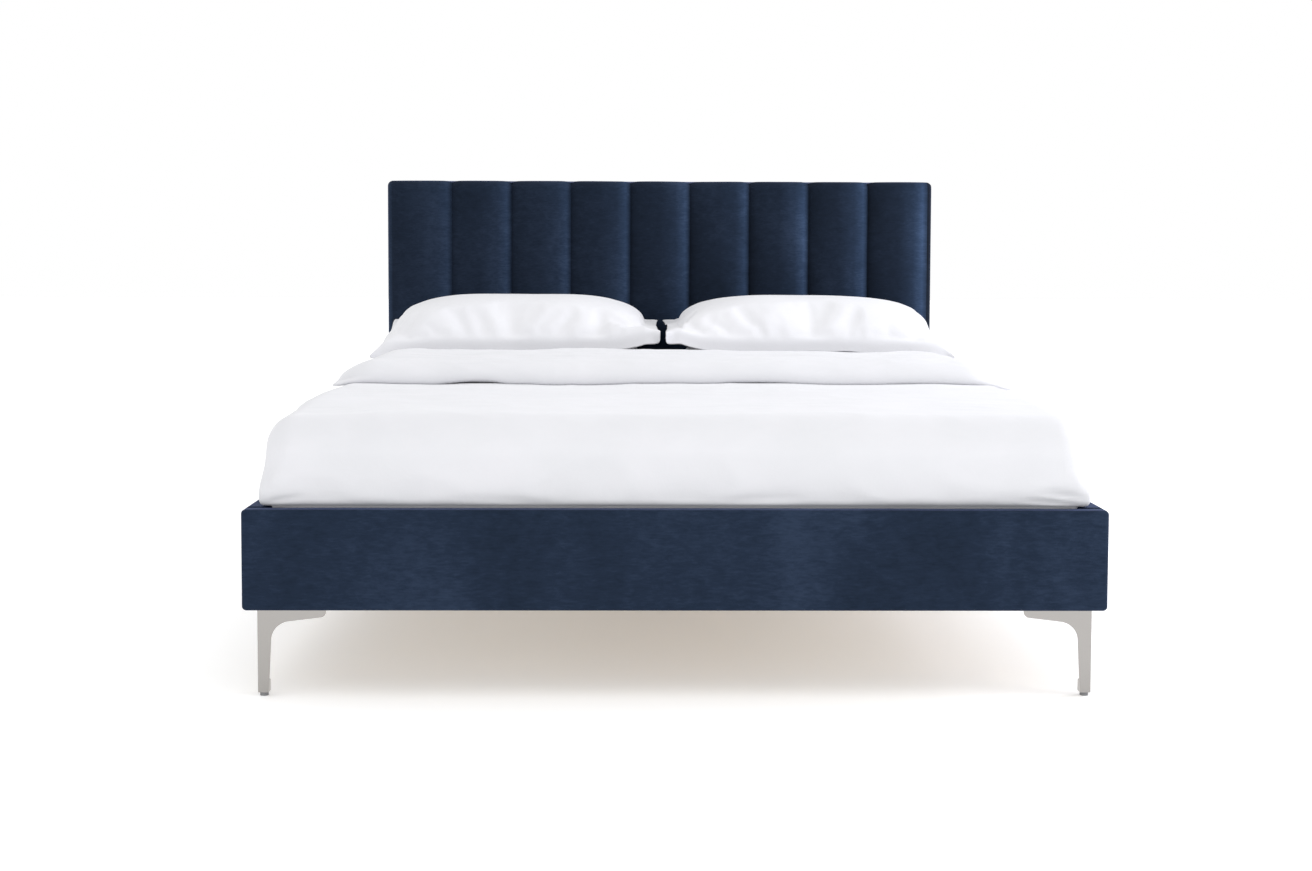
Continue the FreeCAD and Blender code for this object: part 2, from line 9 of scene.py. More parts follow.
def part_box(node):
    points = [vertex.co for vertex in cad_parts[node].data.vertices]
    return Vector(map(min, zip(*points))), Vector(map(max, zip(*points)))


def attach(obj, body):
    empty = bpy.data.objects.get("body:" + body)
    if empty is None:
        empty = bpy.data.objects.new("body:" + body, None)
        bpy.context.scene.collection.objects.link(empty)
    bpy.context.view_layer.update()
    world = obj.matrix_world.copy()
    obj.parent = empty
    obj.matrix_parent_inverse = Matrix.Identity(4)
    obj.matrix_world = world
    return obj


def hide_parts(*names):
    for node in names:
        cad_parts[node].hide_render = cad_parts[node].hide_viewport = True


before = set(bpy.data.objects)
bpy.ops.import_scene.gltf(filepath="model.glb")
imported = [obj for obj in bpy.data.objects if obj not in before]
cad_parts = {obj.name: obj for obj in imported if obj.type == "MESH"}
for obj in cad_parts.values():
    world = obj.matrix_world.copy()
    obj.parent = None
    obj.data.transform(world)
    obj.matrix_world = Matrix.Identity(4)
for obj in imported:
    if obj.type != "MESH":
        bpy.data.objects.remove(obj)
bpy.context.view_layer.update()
MM = 0.001


# ---------------------------------------------------------------- sizes read from the frame

class Span:
    """The box of a CAD node, as lowest and highest corners."""

    def __init__(self, node):
        self.low, self.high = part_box(node)
        self.size = self.high - self.low
        self.middle = (self.high + self.low) / 2


head_cover = Span("headboard_cover")
head_rail = Span("head_rail_cover")
foot_rail = Span("foot_rail_cover")
sheet_box = Span("fitted_sheet")
duvet_box = Span("duvet")
mattress_box = Span("mattress")

CHANNELS = 9
CHANNEL_WIDTH = 177 * MM
CHANNEL_CROWN = 14 * MM
SEAM_SPAN = (CHANNELS - 2) * CHANNEL_WIDTH / 2    # from the middle to the outermost seam
DUVET_THICKNESS = 30 * MM
FOLD_DEPTH = 556 * MM
DUVET_MAIN_TOP = sheet_box.high.z + DUVET_THICKNESS
FOLD_FRONT = duvet_box.high.y - FOLD_DEPTH


# ---------------------------------------------------------------- camera and studio

# solved from the photograph; angles in degrees
LENS, SENSOR_WIDTH, SHIFT_Y = 50.53, 36.0, -0.0503
CAMERA_PLACE = (-0.0847, foot_rail.low.y - 3.4053, 0.8296)
CAMERA_YAW, CAMERA_PITCH, CAMERA_ROLL = 0.77, 3.556, 0.183
CAMERA_FAR = 60.0

FLOOR_REACH = 30.0
FLOOR_TONE, FLOOR_ROUGHNESS, FLOOR_GLOW = 0.95, 0.7, 0.22
PALE_BLUE = (0.86, 0.88, 1.0)


def placed(name, data):
    """Make an object and link it to the scene."""
    thing = bpy.data.objects.new(name, data)
    bpy.context.scene.collection.objects.link(thing)
    return thing


def aim(thing, place, yaw, pitch, roll):
    """Point a camera along +Y, turned right by yaw, down by pitch and over by roll, in degrees."""
    yaw, pitch, roll = (math.radians(angle) for angle in (yaw, pitch, roll))
    forward = Vector((math.sin(yaw) * math.cos(pitch), math.cos(yaw) * math.cos(pitch),
                      -math.sin(pitch)))
    level = Vector((math.cos(yaw), -math.sin(yaw), 0.0))
    rise = level.cross(forward)
    right = math.cos(roll) * level + math.sin(roll) * rise
    up = math.cos(roll) * rise - math.sin(roll) * level
    turned = Matrix((right, up, -forward)).transposed().to_4x4()
    thing.matrix_world = Matrix.Translation(Vector(place)) @ turned


def add_camera():
    data = bpy.data.cameras.new("camera")
    data.sensor_width = SENSOR_WIDTH
    data.lens = LENS
    data.shift_y = SHIFT_Y
    data.clip_end = CAMERA_FAR
    camera = placed("camera", data)
    aim(camera, CAMERA_PLACE, CAMERA_YAW, CAMERA_PITCH, CAMERA_ROLL)
    bpy.context.scene.camera = camera


def add_light(name, place, target, width, height, power, colour=(1.0, 1.0, 1.0)):
    data = bpy.data.lights.new(name, "AREA")
    data.shape = "RECTANGLE"
    data.size = width
    data.size_y = height
    data.energy = power
    data.color = colour
    light = placed(name, data)
    away = Vector(place) - Vector(target)
    facing = away.to_track_quat("Z", "Y").to_matrix().to_4x4()
    light.matrix_world = Matrix.Translation(Vector(place)) @ facing


def add_studio():
    world = bpy.data.worlds.new("studio")
    bpy.context.scene.world = world
    world.use_nodes = True
    background = world.node_tree.nodes["Background"]
    background.inputs["Color"].default_value = (1.0, 1.0, 1.0, 1.0)
    background.inputs["Strength"].default_value = 1.0
    add_light("key", (3.4, -1.9, 2.2), (0.1, 0.4, 0.6), 1.6, 1.6, 30.0)
    add_light("rim", (3.3, 0.15, 1.25), (0.2, 1.0, 0.85), 1.0, 1.0, 46.0, PALE_BLUE)
    add_light("front", (-0.6, -5.6, 1.5), (0.0, -1.0, 0.4), 3.2, 1.8, 26.0)
    add_light("top", (0.0, -0.4, 3.8), (0.0, 0.0, 0.0), 3.0, 3.4, 12.0)
    mesh = bpy.data.meshes.new("floor")
    corners = ((-1, -1), (1, -1), (1, 1), (-1, 1))
    mesh.from_pydata([(x * FLOOR_REACH, y * FLOOR_REACH, 0.0) for x, y in corners],
                     [], [(0, 1, 2, 3)])
    floor = placed("floor", mesh)
    mesh.materials.append(new_material("floor_white", (FLOOR_TONE,) * 3, FLOOR_ROUGHNESS,
                                       Emission_Color=(1.0, 1.0, 1.0, 1.0),
                                       Emission_Strength=FLOOR_GLOW))


# ---------------------------------------------------------------- material helpers

def new_material(name, colour, roughness, **sockets):
    """A principled material; keyword names are socket names with _ for a space."""
    material = bpy.data.materials.new(name)
    material.use_nodes = True
    shader = material.node_tree.nodes["Principled BSDF"]
    shader.inputs["Base Color"].default_value = (*colour, 1.0)
    shader.inputs["Roughness"].default_value = roughness
    for socket, amount in sockets.items():
        shader.inputs[socket.replace("_", " ")].default_value = amount
    return material


class Graph:
    """Adds nodes to a material and links them, one call per node."""

    def __init__(self, material):
        self.tree = material.node_tree
        self.shader = self.tree.nodes["Principled BSDF"]
        self.place = self.add("ShaderNodeTexCoord").outputs["Object"]

    def add(self, kind, **settings):
        node = self.tree.nodes.new(kind)
        for name, setting in settings.items():
            setattr(node, name, setting)
        return node

    def join(self, source, socket):
        """Link a node's output to a socket, or set the socket to a plain value."""
        if isinstance(source, bpy.types.NodeSocket):
            self.tree.links.new(source, socket)
        else:
            socket.default_value = source

    def feed(self, node, **sources):
        for name, source in sources.items():
            self.join(source, node.inputs[name.replace("_", " ")])
        return node

    def stretched(self, scale, turn=(0.0, 0.0, 0.0)):
        node = self.add("ShaderNodeMapping")
        self.feed(node, Vector=self.place, Scale=scale, Rotation=turn)
        return node.outputs["Vector"]

    def noise(self, scale, detail=3.0, roughness=0.5, vector=None, distortion=0.0):
        node = self.add("ShaderNodeTexNoise")
        self.feed(node, Vector=vector or self.place, Scale=scale, Detail=detail,
                  Roughness=roughness, Distortion=distortion)
        return node.outputs["Fac"]

    def wave(self, scale, direction, distortion=0.0):
        node = self.add("ShaderNodeTexWave", bands_direction=direction)
        self.feed(node, Vector=self.place, Scale=scale, Distortion=distortion, Detail=1.0)
        return node.outputs["Fac"]

    def ramp(self, fac, *stops):
        """A colour ramp through (position, colour) stops."""
        node = self.add("ShaderNodeValToRGB")
        elements = node.color_ramp.elements
        while len(elements) < len(stops):
            elements.new(0.5)
        for element, (position, colour) in zip(elements, stops):
            element.position = position
            element.color = (*colour, 1.0)
        self.feed(node, Fac=fac)
        return node.outputs["Color"]

    def remap(self, source, low, high, from_low=0.0, from_high=1.0):
        node = self.add("ShaderNodeMapRange")
        self.feed(node, Value=source, From_Min=from_low, From_Max=from_high,
                  To_Min=low, To_Max=high)
        return node.outputs["Result"]

    def maths(self, operation, first, second):
        node = self.add("ShaderNodeMath", operation=operation)
        for socket, source in zip(node.inputs, (first, second)):
            self.join(source, socket)
        return node.outputs["Value"]

    def mixed(self, first, share, second, other_share):
        """The sum of two values, each times its own share."""
        return self.maths("ADD", self.maths("MULTIPLY", first, share),
                          self.maths("MULTIPLY", second, other_share))

    def bump(self, height, distance, strength, under=None):
        node = self.add("ShaderNodeBump")
        self.feed(node, Height=height, Distance=distance, Strength=strength)
        if under is not None:
            self.feed(node, Normal=under)
        self.tree.links.new(node.outputs["Normal"], self.shader.inputs["Normal"])
        return node.outputs["Normal"]

    def painted_channel_light(self):
        """Painted light across each channel, as a gain on the colour: painted shade beside its left
        seam and a painted highlight most towards its right edge, stronger towards the headboard's
        right end.
        """
        split = self.feed(self.add("ShaderNodeSeparateXYZ"), Vector=self.place)
        from_left = self.maths("ADD", split.outputs["X"], SEAM_SPAN + 2 * CHANNEL_WIDTH)
        across = self.maths("FRACT", self.maths("DIVIDE", from_left, CHANNEL_WIDTH), 0.0)
        stops = ((0.0, 0.72), (0.14, 0.84), (0.50, 0.98), (0.76, 1.42), (0.92, 2.25), (0.99, 1.35))
        unit = 0.4    # keeps the ramp's colours within 1
        nap_and_painted_highlight = self.ramp(across, *((place, (unit * gain,) * 3) for place, gain in stops))
        lean = self.remap(split.outputs["X"], 0.60, 1.80, -0.80, 0.80)
        cloudy = self.noise(5.0, detail=3.0, vector=self.stretched((2.4, 1.0, 0.8)))
        patchy = self.remap(cloudy, 0.3, 1.7)
        strength = self.maths("MULTIPLY", lean, patchy)
        gain = self.maths("SUBTRACT", self.maths("DIVIDE", nap_and_painted_highlight, unit), 1.0)
        return self.maths("ADD", self.maths("MULTIPLY", gain, strength), 1.0)

    def brighter(self, colour, gain):
        node = self.add("ShaderNodeVectorMath", operation="SCALE")
        self.tree.links.new(colour, node.inputs["Vector"])
        self.tree.links.new(gain, node.inputs["Scale"])
        return node.outputs["Vector"]

    def colour(self, source):
        self.tree.links.new(source, self.shader.inputs["Base Color"])

    def roughness(self, source):
        self.tree.links.new(source, self.shader.inputs["Roughness"])


# ---------------------------------------------------------------- materials

def velvet_material(name, tone, with_painted_highlight=False):
    """Navy velvet: short pile with sheen, brushed patches and a fine grain."""
    material = new_material(name, (0.0092, 0.0165, 0.0325), 0.72, Sheen_Weight=0.34,
                            Sheen_Roughness=0.30, Sheen_Tint=(0.30, 0.36, 0.72, 1.0),
                            Specular_IOR_Level=0.08)
    graph = Graph(material)
    brushed = graph.noise(2.6, detail=4.0, roughness=0.55, vector=graph.stretched((1.0, 1.0, 0.45)),
                          distortion=0.8)
    pile = graph.noise(900.0, detail=2.0)
    rubbed = graph.noise(38.0, detail=5.0, roughness=0.65, vector=graph.stretched((0.8, 0.8, 1.5)),
                         distortion=0.6)
    rows = graph.noise(300.0, detail=2.0, vector=graph.stretched((0.22, 0.22, 1.0)))
    marks = graph.mixed(rubbed, 0.24, rows, 0.16)
    nap_and_painted_highlight = graph.mixed(brushed, 0.50, pile, 0.10)
    mixed = graph.maths("ADD", nap_and_painted_highlight, marks)
    shades = [tuple(tone * part for part in shade) for shade in
              ((0.0050, 0.0100, 0.0200), (0.0090, 0.0162, 0.0320), (0.0160, 0.0262, 0.0490))]
    base = graph.ramp(mixed, *zip((0.36, 0.50, 0.62), shades))
    # painted light on the headboard's channels: the colour is scaled darker beside each left seam
    # and brighter towards each right edge, as a painted highlight
    if with_painted_highlight:
        base = graph.brighter(base, graph.painted_channel_light())
    graph.colour(base)
    graph.roughness(graph.remap(brushed, 0.70, 0.88))
    soft = graph.bump(marks, 0.0016, 0.45)
    graph.bump(pile, 0.0003, 0.55, under=soft)
    return material


def cotton_material(name, tone, shade, weave=2600.0):
    """White percale with a plain weave and faint creasing."""
    material = new_material(name, tone, 0.82, Sheen_Weight=0.25, Sheen_Roughness=0.5,
                            Specular_IOR_Level=0.3)
    graph = Graph(material)
    cloudy = graph.noise(7.0, detail=5.0, roughness=0.6)
    graph.colour(graph.ramp(cloudy, (0.25, shade), (0.65, tone)))
    across = graph.wave(weave, "X", distortion=0.6)
    along = graph.wave(weave, "Y", distortion=0.6)
    thread = graph.maths("MULTIPLY", across, along)
    crumple = graph.noise(24.0, detail=6.0, roughness=0.62, distortion=1.2)
    creased = graph.bump(crumple, 0.0016, 0.30)
    graph.bump(thread, 0.0001, 0.35, under=creased)
    return material


def metal_material(name, colour, roughness, brushed=0.0):
    material = new_material(name, colour, roughness, Metallic=1.0)
    graph = Graph(material)
    vector = graph.stretched((1.0, 1.0, 12.0)) if brushed else None
    smear = graph.noise(60.0, detail=3.0, vector=vector)
    graph.roughness(graph.remap(smear, roughness * 0.7, roughness * 1.5))
    graph.bump(smear, 0.0001, 0.15 + brushed)
    return material


def wood_material(name, light, dark, along):
    """Planed softwood; the grain runs along X or Y."""
    material = new_material(name, light, 0.6, Specular_IOR_Level=0.35)
    graph = Graph(material)
    squeeze = {"X": (0.7, 9.0, 9.0), "Y": (9.0, 0.7, 9.0)}[along]
    vector = graph.stretched(squeeze)
    grain = graph.noise(6.0, detail=8.0, roughness=0.65, vector=vector, distortion=1.4)
    pores = graph.noise(70.0, detail=3.0, vector=vector)
    mixed = graph.mixed(grain, 0.75, pores, 0.25)
    shaded = tuple(0.8 * part for part in light)
    graph.colour(graph.ramp(mixed, (0.34, dark), (0.50, light), (0.66, shaded)))
    graph.roughness(graph.remap(pores, 0.5, 0.75))
    graph.bump(mixed, 0.0006, 0.4)
    return material


def plastic_material(name, colour, roughness):
    material = new_material(name, colour, roughness, Specular_IOR_Level=0.45)
    graph = Graph(material)
    grain = graph.noise(700.0, detail=2.0)
    darker = tuple(0.85 * part for part in colour)
    graph.colour(graph.ramp(graph.noise(30.0), (0.3, darker), (0.7, colour)))
    graph.roughness(graph.remap(grain, roughness * 0.85, min(1.0, roughness * 1.2)))
    graph.bump(grain, 0.0002, 0.4)
    return material


def felt_material(name, colour):
    """Non-woven dust cloth, with its little pressed dots."""
    material = new_material(name, colour, 0.92, Specular_IOR_Level=0.15)
    graph = Graph(material)
    fibres = graph.noise(420.0, detail=5.0, roughness=0.7, distortion=2.0)
    darker, lighter = (tuple(gain * part for part in colour) for gain in (0.6, 1.5))
    graph.colour(graph.ramp(fibres, (0.3, darker), (0.7, lighter)))
    dots = graph.maths("MULTIPLY", graph.wave(160.0, "X"), graph.wave(160.0, "Z"))
    pressed = graph.bump(dots, 0.0003, 0.5)
    graph.bump(fibres, 0.0003, 0.5, under=pressed)
    return material


WHITE = (0.685, 0.686, 0.714)
# painted light: the rails' velvet is painted lighter (tone 1.30) than the headboard's (tone 0.92),
# lit and shaded copies of the one navy velvet
velvet = velvet_material("velvet_navy_painted_lighter", 1.30)
# the headboard's velvet carries the painted channel light: painted shade by each left seam, painted
# highlight towards each right edge
channel_velvet_painted_light = velvet_material("velvet_channels_painted_light", 0.92, with_painted_highlight=True)
cotton = cotton_material("cotton_duvet", WHITE, (0.655, 0.66, 0.685))
pillow_cotton = cotton_material("cotton_pillow", (0.715, 0.716, 0.742), (0.69, 0.692, 0.72),
                                weave=2900.0)
sheet_cotton = cotton_material("cotton_sheet", (0.70, 0.705, 0.715), (0.67, 0.675, 0.69),
                               weave=2400.0)
ticking = cotton_material("mattress_ticking", (0.68, 0.68, 0.67), (0.62, 0.625, 0.62),
                          weave=1500.0)
thread = new_material("thread_white", (0.80, 0.80, 0.81), 0.7)
polished = metal_material("polished_nickel", (0.36, 0.345, 0.33), 0.07)
zinc = metal_material("zinc_plate", (0.60, 0.60, 0.62), 0.38, brushed=0.2)
black_steel = metal_material("black_powder_coat", (0.03, 0.03, 0.032), 0.45)
planks = wood_material("pine_rails", (0.56, 0.40, 0.24), (0.38, 0.24, 0.13), "Y")
ply = wood_material("plywood", (0.60, 0.45, 0.28), (0.45, 0.31, 0.18), "X")
birch = wood_material("birch_slats", (0.68, 0.53, 0.35), (0.52, 0.37, 0.21), "X")
glide_grey = plastic_material("glide_grey", (0.20, 0.20, 0.205), 0.5)
cap_black = plastic_material("cap_black", (0.025, 0.025, 0.027), 0.5)
dust_cloth = felt_material("dust_cloth", (0.022, 0.022, 0.024))


def cad_material(node):
    """Which finish a CAD node gets; the soft ones are hidden by pieces made below."""
    if node.startswith("slat_end"):
        return cap_black
    if node.startswith("slat_ledge") or node.endswith("_board"):
        return planks
    if node in ("centre_beam", "headboard_frame"):
        return planks
    if node in ("headboard_panel", "corner_gussets"):
        return ply
    if node.startswith("slat_"):
        return birch
    if node.startswith("leg_") and node != "leg_screws":
        return polished
    if "glide" in node:
        return glide_grey
    if node.startswith("centre_leg"):
        return black_steel
    if node == "headboard_back_cloth":
        return dust_cloth
    if node.endswith(("_cover", "_foam")) or node == "headboard_channels":
        return velvet
    if node in ("mattress", "fitted_sheet", "duvet") or node.startswith("pillow"):
        return cotton
    return zinc


bpy.context.scene.view_settings.view_transform = "Standard"
add_camera()
add_studio()
for node_name, node_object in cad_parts.items():
    node_object.data.materials.clear()
    node_object.data.materials.append(cad_material(node_name))


# ---------------------------------------------------------------- mesh helpers

def finished(name, points, faces, material):
    """Make an object from points in metres and its faces, with one material."""
    mesh = bpy.data.meshes.new(name)
    mesh.from_pydata([tuple(point) for point in points], [], [tuple(face) for face in faces])
    mesh.update()
    shape = bmesh.new()
    shape.from_mesh(mesh)
    bmesh.ops.remove_doubles(shape, verts=shape.verts, dist=1e-6)
    bmesh.ops.recalc_face_normals(shape, faces=shape.faces)
    if shape.calc_volume(signed=True) < 0.0:
        bmesh.ops.reverse_faces(shape, faces=shape.faces)
    shape.to_mesh(mesh)
    shape.free()
    mesh.polygons.foreach_set("use_smooth", [True] * len(mesh.polygons))
    mesh.materials.append(material)
    piece = placed(name, mesh)
    return piece


def apply_modifiers(piece):
    """Put a piece's modifiers into its own mesh."""
    solved = piece.evaluated_get(bpy.context.evaluated_depsgraph_get())
    mesh = bpy.data.meshes.new_from_object(solved)
    piece.modifiers.clear()
    piece.data = mesh


def eased(amount):
    amount = np.clip(amount, 0.0, 1.0)
    return amount * amount * (3.0 - 2.0 * amount)


def ripple(points, scale, seed):
    """Smooth noise from -1 to 1 at each point; scale is three numbers per metre."""
    shift = Vector((seed * 7.31, seed * 3.77, seed * 5.13))
    return np.array([noise.noise(Vector(point * scale) + shift) for point in points])


def folds(points, scale, seed):
    """Noise with soft ridges, like slack cloth, from 0 in the hollows to 1 on the ridges."""
    return (1.0 - np.abs(ripple(points, scale, seed)) * 2.2).clip(0.0, 1.0) ** 2


def crease(points, start, end, width):
    """1 on the line between two places and fading to 0 at a width from it, less at its ends."""
    start, end = np.array(start), np.array(end)
    run = end - start
    share = ((points - start) @ run / (run @ run)).clip(0.0, 1.0)
    away = np.linalg.norm(points - start - share[:, None] * run, axis=1)
    return np.exp(-(away / width) ** 2) * np.sin(np.pi * (0.08 + 0.84 * share))


def lines(low, high, step, fine=0.0, near=0.0, extra=()):
    """Grid lines from low to high, closer together near both ends."""
    middle = np.linspace(low + near, high - near, max(2, int((high - low - 2 * near) / step) + 1))
    if near:
        count = max(2, int(near / fine) + 1)
        middle = np.concatenate((np.linspace(low, low + near, count), middle,
                                 np.linspace(high - near, high, count)))
    return np.unique(np.round(np.concatenate((middle, extra)), 7))


def box_skin(xs, ys, zs):
    """The closed skin of a box along three sets of grid lines: points and quads."""
    spots, index, quads = [], {}, []

    def corner(*key):
        if key not in index:
            index[key] = len(spots)
            spots.append((xs[key[0]], ys[key[1]], zs[key[2]]))
        return index[key]

    counts = (len(xs), len(ys), len(zs))
    for fixed, first, second in ((0, 1, 2), (1, 0, 2), (2, 0, 1)):
        for end in (0, counts[fixed] - 1):
            for i in range(counts[first] - 1):
                for j in range(counts[second] - 1):
                    quad = []
                    for di, dj in ((0, 0), (1, 0), (1, 1), (0, 1)):
                        key = [0, 0, 0]
                        key[fixed], key[first], key[second] = end, i + di, j + dj
                        quad.append(corner(*key))
                    quads.append(quad)
    return np.array(spots), quads


def softened(points, low, high, radii_low, radii_high):
    """Round a box's skin with its own radius at each of its six sides."""
    low, high = np.array(low), np.array(high)
    inner = np.clip(points, low + radii_low, high - radii_high)
    reach = np.where(points > inner, radii_high, radii_low)
    lean = np.divide(points - inner, reach, out=np.zeros_like(points), where=reach > 0)
    length = np.linalg.norm(lean, axis=1)[:, None]
    out = inner + reach * lean / np.maximum(length, 1e-9)
    return np.where(length > 1e-9, out, points)


# ---------------------------------------------------------------- headboard

# roundings of the headboard's back edge, its top edge in front, its two ends and its lower edge
BACK_BEND, TOP_ROLL, END_BEND, LOWER_BEND = 0.006, 0.026, 0.015, 0.004
BACK_PROUD = 0.0006      # the velvet's back stands this far behind the CAD cover
SEAT_GAP = 0.0005        # between the headboard and the top of the head rail
FRONT_STEP = 0.0055
CHANNEL_STEPS, END_STEPS = 24, 6


def headboard_profile():
    """The headboard's outline in Y and Z, up its back, over the top and down the front."""
    back, front = head_cover.high.y + BACK_PROUD, head_cover.low.y
    bottom, top = head_cover.low.z, head_cover.high.z
    ledge, seat = head_rail.high.y, head_rail.high.z
    chain = [(back, z) for z in np.linspace(bottom + LOWER_BEND, top - BACK_BEND, 26)]
    back_turn = np.linspace(0.15, math.pi / 2, 5)
    chain += [(back - BACK_BEND + BACK_BEND * math.cos(a),
               top - BACK_BEND + BACK_BEND * math.sin(a)) for a in back_turn]
    chain += [(y, top) for y in np.linspace(back - BACK_BEND, front + TOP_ROLL, 6)[1:-1]]
    chain += [(front + TOP_ROLL - TOP_ROLL * math.sin(a), top - TOP_ROLL + TOP_ROLL * math.cos(a))
              for a in np.linspace(0.0, math.pi / 2, 10)]
    chain += [(front, z) for z in np.arange(top - TOP_ROLL - 0.004, seat + 0.012, -FRONT_STEP)]
    chain += [(front + 0.003, seat + 0.003), (front + 0.010, seat + SEAT_GAP),
              (ledge, seat + SEAT_GAP), (ledge, seat - 0.02), (ledge, bottom + LOWER_BEND),
              (ledge + LOWER_BEND, bottom), (back - LOWER_BEND, bottom)]
    return np.array(chain)


def headboard_sections(edges):
    """Places across the headboard, closer at the seams, and how far each section is drawn in."""
    stations = []
    for left, right in zip(edges, edges[1:]):
        lean = np.linspace(0.0, 1.0, CHANNEL_STEPS + 1)[:-1]
        stations += list(left + (right - left) * (lean - 0.10 * np.sin(2 * np.pi * lean)))
    stations.append(edges[-1])
    turn = np.linspace(0.0, math.pi / 2, END_STEPS + 1)[1:]
    rounding = [(END_BEND * math.sin(a), END_BEND * (1 - math.cos(a))) for a in turn]
    sections = [(edges[0] - out, inset) for out, inset in rounding[::-1]]
    sections += [(x, 0.0) for x in stations]
    return sections + [(edges[-1] + out, inset) for out, inset in rounding]


def inward_steps(chain):
    """A step inwards at each place of the outline: whole in front and above, little at the back."""
    tangent = np.roll(chain, -1, axis=0) - np.roll(chain, 1, axis=0)
    inward = np.stack((-tangent[:, 1], tangent[:, 0]), axis=1)
    inward /= np.linalg.norm(inward, axis=1)[:, None]
    share = np.maximum(eased((head_cover.high.z - 0.03 - chain[:, 1]) / -0.02),
                       eased((head_rail.high.y - 0.004 - chain[:, 0]) / 0.010))
    share = np.maximum(share, 0.10)
    on_ledge = np.abs(chain[:, 0] - head_rail.high.y) < 0.001
    share[on_ledge & (chain[:, 1] < head_rail.high.z + 0.002)] = 0.0
    return inward * share[:, None]


def lofted(sections):
    """A closed skin through the headboard's outline at each section: points and faces."""
    chain = headboard_profile()
    inward = inward_steps(chain)
    count = len(chain)
    points = np.concatenate([np.column_stack((np.full(count, x), chain + inward * inset))
                             for x, inset in sections])
    faces = []
    for row in range(len(sections) - 1):
        for spot in range(count):
            following = (spot + 1) % count
            faces.append((row * count + spot, row * count + following,
                          (row + 1) * count + following, (row + 1) * count + spot))
    faces.append(tuple(range(count)))
    faces.append(tuple(range((len(sections) - 1) * count, len(sections) * count)))
    return points, faces


def headboard_velvet():
    """Nine crowned channels in one velvet skin, pulled in along the seams."""
    half = head_cover.high.x
    seams = [index * CHANNEL_WIDTH - SEAM_SPAN for index in range(CHANNELS - 1)]
    points, faces = lofted(headboard_sections([-half + END_BEND] + seams + [half - END_BEND]))

    bounds = np.array([-half] + seams + [half])
    slot = np.clip(np.searchsorted(bounds, points[:, 0]) - 1, 0, CHANNELS - 1)
    centre = (bounds[slot] + bounds[slot + 1]) / 2
    reach = (bounds[slot + 1] - bounds[slot]) / 2
    across = (points[:, 0] - centre) / reach
    from_seam = np.min(np.abs(points[:, 0][:, None] - np.array(seams)), axis=1)
    top = head_cover.high.z
    front_share = eased((head_cover.low.y + 0.030 - points[:, 1]) / 0.022)
    above = eased((points[:, 2] - head_rail.high.z) / 0.012)
    sunk = CHANNEL_CROWN * (0.35 * across ** 2 + 0.65 * np.abs(across) ** 4.5)
    tuft = np.exp(-(from_seam / 0.0035)) * 0.004
    pull = ripple(points, np.array([9.0, 0.0, 46.0]), 3) * 0.0016 * np.exp(-from_seam / 0.020)
    slack = ripple(points, np.array([5.0, 0.0, 3.2]), 5) * 0.0016
    near_top = np.exp(-(top - points[:, 2]) / 0.045)
    pucker = ripple(points, np.array([120.0, 30.0, 14.0]), 8) * 0.0020
    pucker = pucker * near_top * np.exp(-from_seam / 0.030)
    points[:, 1] += front_share * above * (sunk + tuft + pull + slack + pucker)
    over_top = eased((points[:, 2] - top + 0.030) / 0.030)
    dip = 0.0042 * np.exp(-(from_seam / 0.011) ** 2) + 0.0012 * np.abs(across) ** 3
    wander = ripple(points, np.array([7.0, 9.0, 0.0]), 11) * 0.0009
    from_back = eased((head_cover.high.y - points[:, 1]) / 0.06)
    points[:, 2] -= over_top * (dip + wander + 0.0009) * from_back
    piece = finished("headboard_velvet", points, faces, channel_velvet_painted_light)
    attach(piece, "frame")
    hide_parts("headboard_cover", "headboard_channels")


# ---------------------------------------------------------------- rails

RAIL_EDGE = 0.0085                       # rounding of a rail's edges
RAIL_STEP, RAIL_FINE, RAIL_NEAR = 0.012, 0.002, 0.010


def rail_velvet(name, node, ends):
    """A rail's velvet over its foam; the ends are rounded where nothing meets them."""
    span = Span(node)
    low, high = np.array(span.low), np.array(span.high)
    along = 0 if span.size.x > span.size.y else 1
    thin = 1 - along
    soft = np.full(3, RAIL_EDGE)
    steps = [lines(span.low[axis], span.high[axis], RAIL_STEP, fine=RAIL_FINE, near=RAIL_NEAR)
             for axis in range(3)]
    if not ends:
        soft[along] = 0.0
        steps[along] = lines(span.low[along], span.high[along], RAIL_STEP)
    points, faces = box_skin(*steps)
    middle = (low + high) / 2
    side = np.sign(points[:, thin] - middle[thin])
    upper = eased((points[:, 2] - low[2]) / 0.03) * eased((high[2] - points[:, 2]) / 0.01)
    points = softened(points, low, high, soft, soft)
    stretch = np.array([0.0, 0.0, 2.5])
    stretch[along] = 4.5
    wander = ripple(points, stretch, 21 + along) * 0.0009
    wander = wander + ripple(points, stretch * 3.1, 23) * 0.0004
    on_side = np.abs(points[:, thin] - middle[thin]) > 0.010
    points[:, thin] += side * (wander - 0.0008) * upper * on_side
    near_top = eased((points[:, 2] - high[2] + 0.02) / 0.02)
    points[:, 2] += ripple(points, stretch * 1.4, 27) * 0.0005 * near_top
    piece = finished(name, points, faces, velvet)
    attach(piece, "frame")
    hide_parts(node, node.replace("_cover", "_foam"))


headboard_velvet()
for rail_name, rounded_ends in (("foot_rail", True), ("head_rail", True),
                                ("side_rail_left", False), ("side_rail_right", False)):
    rail_velvet(rail_name + "_velvet", rail_name + "_cover", rounded_ends)


# ---------------------------------------------------------------- duvet

DUVET_STEP, DUVET_FINE = 0.0095, 0.0045       # the grid's steps, wide and close
SHELL_WALL, SHELL_TUCK = 0.0012, 0.0060       # from the bed to the hollow, above and at the tuck
SHELL_STEP = 0.0004
SHELL_PLAN, SHELL_SHOULDER = 0.068, 0.046     # the hollow's roundings, in plan and at its top


